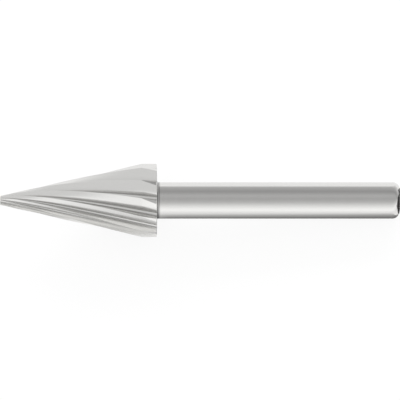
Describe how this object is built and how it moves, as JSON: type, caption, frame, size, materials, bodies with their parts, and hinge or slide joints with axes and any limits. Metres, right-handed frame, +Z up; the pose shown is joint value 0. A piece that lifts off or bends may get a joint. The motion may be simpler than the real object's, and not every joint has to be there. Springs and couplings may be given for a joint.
{
  "type": "rotary burr",
  "caption": "Solid steel rotary burr with a pointed cone head, right-hand spiral teeth and a plain round shank, lying at rest.",
  "frame": {"origin": "on the ground under the middle of the lying burr, below its axis", "axes": "+X along the burr from its tip to the end of its shank, +Z up; the axis leans 4.2 degrees down towards the shank's end"},
  "size_m": [0.0656, 0.0118, 0.012],
  "materials": {
    "tool_steel": "ground"
  },
  "bodies": {
    "root": {"rotary_burr": "tool_steel"}
  },
  "joints": []
}
